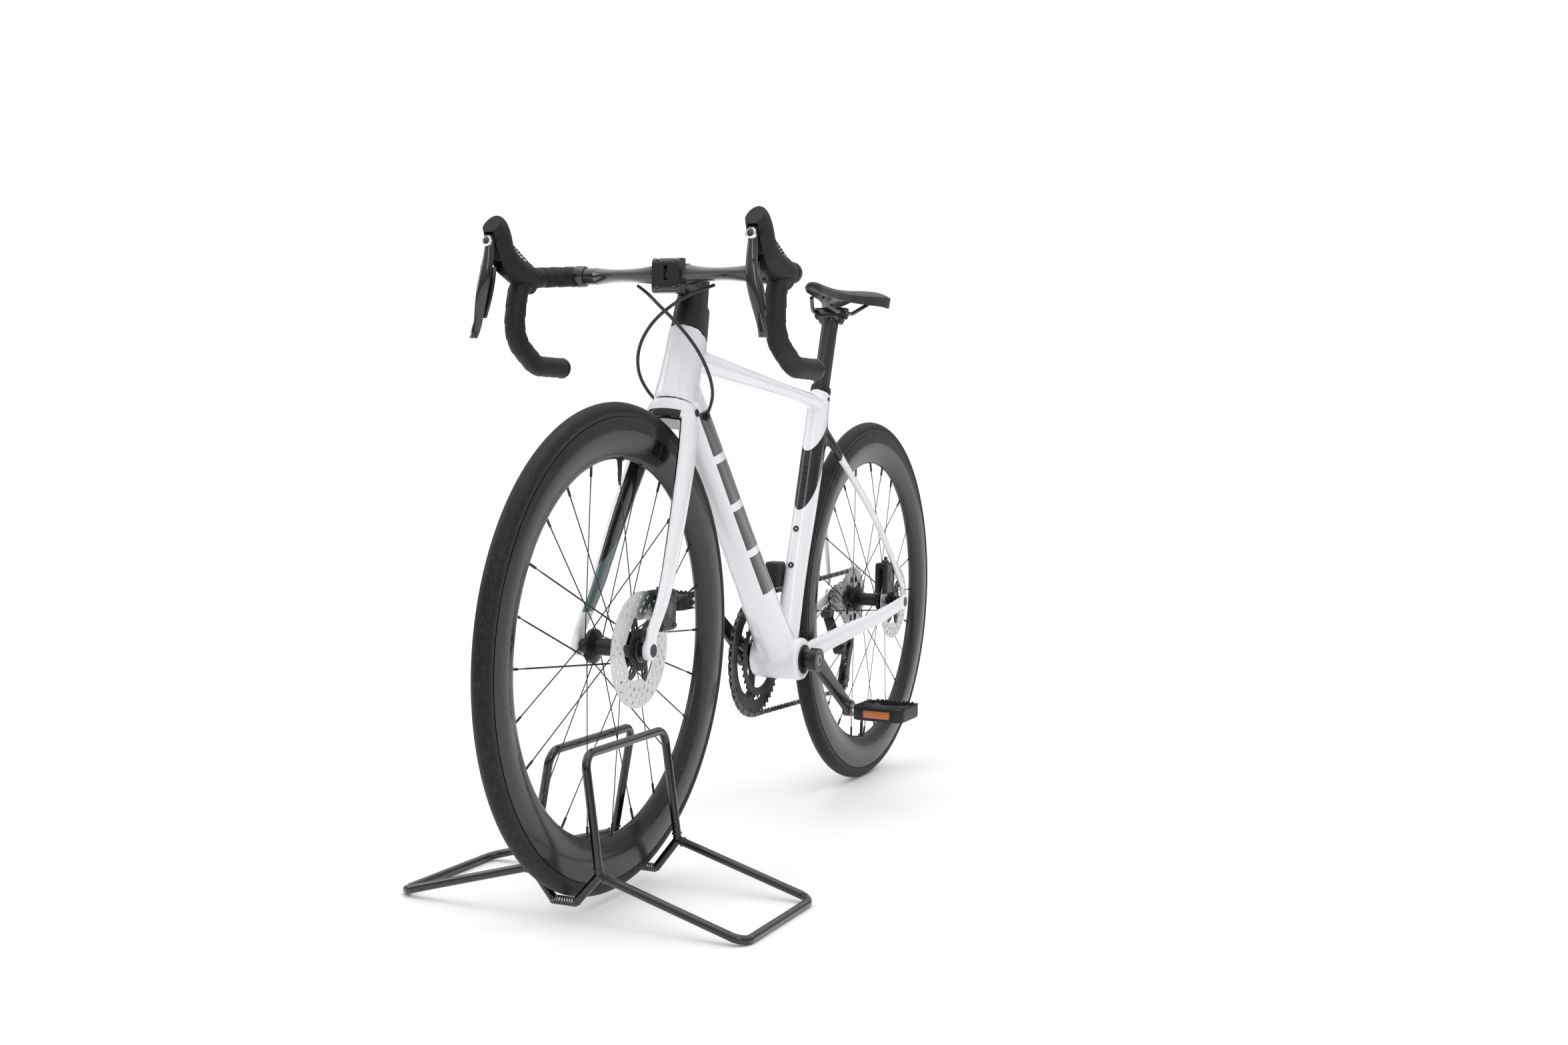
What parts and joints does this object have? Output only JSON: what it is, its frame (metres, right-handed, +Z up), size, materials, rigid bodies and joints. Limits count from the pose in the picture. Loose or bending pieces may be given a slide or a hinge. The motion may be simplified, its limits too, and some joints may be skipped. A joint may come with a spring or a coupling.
{
  "type": "bicycle on stand",
  "caption": "White drop-bar road bicycle with deep-section disc wheels and two-ring drivetrain, its front wheel held in a sprung black steel floor stand.",
  "frame": {"origin": "on the floor, midway between the two wheel axles, in the bicycle's centre plane", "axes": "+X is the riding direction, +Y the rider's left, +Z up"},
  "size_m": [1.6599, 0.532, 0.9444],
  "materials": {
    "white_paint": "gloss white lacquer over carbon laminate",
    "black_paint": "gloss black",
    "carbon": "satin carbon",
    "tyre": "matt tread",
    "rubber": "matt hood rubber",
    "tape": "perforated tape",
    "black_alloy": "black anodised",
    "grey_alloy": "dark grey anodised",
    "steel": "brushed",
    "spoke_steel": "black coated",
    "chain_steel": "oiled steel",
    "stand_steel": "gloss black coated",
    "spring_steel": "blackened spring wire",
    "resin": "glass-filled resin",
    "hose": "satin hose jacket",
    "saddle": "soft black cover"
  },
  "bodies": {
    "stand": {"stand_wing_left": "stand_steel", "stand_springs": "spring_steel"},
    "stand_right_wing": {"stand_wing_right": "stand_steel"},
    "fork": {"fork_crown": "white_paint", "fork_blade_left": "white_paint", "fork_blade_right": "white_paint", "headset_spacers": "carbon", "stem": "black_paint", "stem_faceplate": "black_paint", "handlebar": "black_paint", "bar_tape": "tape", "hood_left": "rubber", "hood_right": "rubber", "front_caliper": "black_alloy", "front_axle": "steel", "front_brake_hose": "hose", "hose_left": "hose", "hose_right": "hose"},
    "front_wheel": {"front_tyre": "tyre", "front_rim": "carbon", "front_spokes": "spoke_steel", "front_hub": "black_alloy", "front_rotor": "steel"},
    "brake_lever_left": {"brake_lever_left": "black_alloy"},
    "brake_lever_right": {"brake_lever_right": "black_alloy"},
    "shift_paddle_left": {"shift_paddle_left": "resin"},
    "shift_paddle_right": {"shift_paddle_right": "resin"},
    "frame": {"head_tube": "white_paint", "headset_bearings": "steel", "top_tube": "white_paint", "down_tube": "white_paint", "seat_tube": "white_paint", "bb_shell": "white_paint", "bb_bearings": "steel", "chainstays": "white_paint", "seatstays": "white_paint", "seat_clamp": "carbon", "rear_axle": "steel", "rear_caliper": "black_alloy", "rear_derailleur": "black_alloy", "front_derailleur": "black_alloy", "chain": "chain_steel"},
    "rear_wheel": {"rear_tyre": "tyre", "rear_rim": "carbon", "rear_spokes": "spoke_steel", "rear_hub": "black_alloy", "rear_rotor": "steel"},
    "cassette": {"cassette": "steel"},
    "crankset": {"crank_right": "grey_alloy", "crank_left": "grey_alloy", "chainrings": "grey_alloy", "pedal_axles": "steel"},
    "pedal_left": {"pedal_left": "resin"},
    "pedal_right": {"pedal_right": "resin"},
    "jockey_upper": {"jockey_wheel_upper": "resin"},
    "jockey_lower": {"jockey_wheel_lower": "resin"},
    "seatpost": {"seatpost": "carbon", "saddle_clamp": "black_alloy"},
    "saddle": {"saddle": "saddle", "saddle_rails": "steel"}
  },
  "joints": [
    {"name": "stand_wing_tilt", "type": "hinge", "parent": "stand", "child": "stand_right_wing", "pos_m": [0.5035, -0.26, 0.006], "axis": [1, 0, 0], "range_deg": [0, 2.6], "deforming": ["stand_springs"]},
    {"name": "lift_from_stand", "type": "slide", "parent": "stand", "child": "fork", "axis": [0, 0, 1], "range_m": [0, 0.25]},
    {"name": "steering", "type": "hinge", "parent": "fork", "child": "frame", "pos_m": [0.31165, 0, 0.74], "axis": [-0.3123, 0, 0.95], "range_deg": [-45, 45], "deforming": ["hose_left", "hose_right"]},
    {"name": "front_wheel_spin", "type": "hinge", "parent": "fork", "child": "front_wheel", "pos_m": [0.493, 0, 0.3485], "axis": [0, 1, 0], "continuous": true},
    {"name": "rear_wheel_spin", "type": "hinge", "parent": "frame", "child": "rear_wheel", "pos_m": [-0.493, 0, 0.337], "axis": [0, 1, 0], "continuous": true},
    {"name": "crank_spin", "type": "hinge", "parent": "frame", "child": "crankset", "pos_m": [-0.085, 0, 0.271], "axis": [0, 1, 0], "continuous": true},
    {"name": "cassette_spin", "type": "hinge", "parent": "frame", "child": "cassette", "pos_m": [-0.493, 0, 0.337], "axis": [0, 1, 0], "continuous": true},
    {"name": "jockey_upper_spin", "type": "hinge", "parent": "frame", "child": "jockey_upper", "pos_m": [-0.484, -0.0307, 0.25], "axis": [0, 1, 0], "continuous": true},
    {"name": "jockey_lower_spin", "type": "hinge", "parent": "frame", "child": "jockey_lower", "pos_m": [-0.462, -0.0307, 0.189], "axis": [0, 1, 0], "continuous": true},
    {"name": "pedal_left_spin", "type": "hinge", "parent": "crankset", "child": "pedal_left", "pos_m": [-0.22421, 0.142, 0.1717], "axis": [0, 1, 0], "continuous": true},
    {"name": "pedal_right_spin", "type": "hinge", "parent": "crankset", "child": "pedal_right", "pos_m": [0.05421, -0.142, 0.3703], "axis": [0, 1, 0], "continuous": true},
    {"name": "seatpost_height", "type": "slide", "parent": "frame", "child": "seatpost", "axis": [-0.2907, 0, 0.9568], "range_m": [-0.04, 0.04]},
    {"name": "saddle_fore_aft", "type": "slide", "parent": "seatpost", "child": "saddle", "axis": [1, 0, 0], "range_m": [-0.008, 0.008]},
    {"name": "brake_lever_left", "type": "hinge", "parent": "fork", "child": "brake_lever_left", "pos_m": [0.5, 0.202, 0.908], "axis": [0, 1, 0], "range_deg": [0, 18], "stiffness_Nm_per_rad": 0.8, "springref_deg": -8.59},
    {"name": "shift_paddle_left", "type": "hinge", "parent": "brake_lever_left", "child": "shift_paddle_left", "pos_m": [0.496, 0.202, 0.868], "axis": [-1, 0, 0], "range_deg": [0, 12], "stiffness_Nm_per_rad": 0.15, "springref_deg": -8.59},
    {"name": "brake_lever_right", "type": "hinge", "parent": "fork", "child": "brake_lever_right", "pos_m": [0.5, -0.202, 0.908], "axis": [0, 1, 0], "range_deg": [0, 18], "stiffness_Nm_per_rad": 0.8, "springref_deg": -8.59},
    {"name": "shift_paddle_right", "type": "hinge", "parent": "brake_lever_right", "child": "shift_paddle_right", "pos_m": [0.496, -0.202, 0.868], "axis": [1, 0, 0], "range_deg": [0, 12], "stiffness_Nm_per_rad": 0.15, "springref_deg": -8.59}
  ],
  "couplings": [
    {"joint": "stand_wing_tilt", "follows": "lift_from_stand", "rad_per_m": 0.17453},
    {"joint": "cassette_spin", "follows": "crank_spin", "ratio": 1.8519},
    {"joint": "jockey_upper_spin", "follows": "crank_spin", "ratio": -4.5455},
    {"joint": "jockey_lower_spin", "follows": "crank_spin", "ratio": 4.5455}
  ]
}
